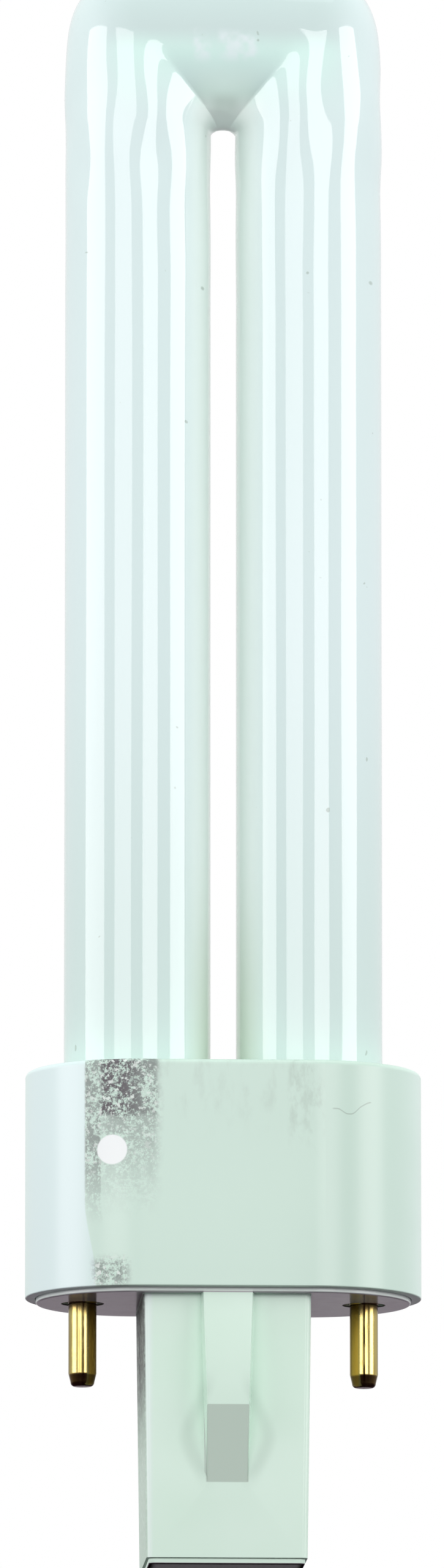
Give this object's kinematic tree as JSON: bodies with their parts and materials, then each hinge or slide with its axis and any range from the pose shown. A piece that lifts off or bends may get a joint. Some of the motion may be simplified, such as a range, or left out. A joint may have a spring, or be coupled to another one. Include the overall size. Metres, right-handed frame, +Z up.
{
  "type": "u shaped fluorescent bulb",
  "caption": "Single-turn compact fluorescent bulb: a narrow glass U on a two-pin plug-in cap with a keyed post that holds its starter.",
  "frame": {"origin": "middle of the cap's underside, the face that seats on the lamp holder", "axes": "+X through both contact pins to the right, -Y the front of the cap, +Z up along the glass legs"},
  "size_m": [0.0324, 0.0186, 0.1335],
  "materials": {
    "coated_glass": "glossy clear glass over an opaque white coating",
    "cap_plastic": "moulded, satin to glossy, pale mint white",
    "pin_brass": "polished, a little tarnished",
    "basing_cement": "matt, slightly rough",
    "starter_glass": "glossy",
    "capacitor_case": "dipped resin",
    "lead_wire": "bare nickel wire"
  },
  "bodies": {
    "root": {"discharge_tube": "coated_glass", "cement_left": "basing_cement", "cement_right": "basing_cement", "cap_shell": "cap_plastic", "base_plate": "cap_plastic", "post_cover": "cap_plastic", "contact_pin_left": "pin_brass", "contact_pin_right": "pin_brass", "starter_bottle": "starter_glass", "capacitor": "capacitor_case", "pin_lead_left": "lead_wire", "pin_lead_right": "lead_wire", "starter_lead_left": "lead_wire", "starter_lead_right": "lead_wire"}
  },
  "joints": []
}
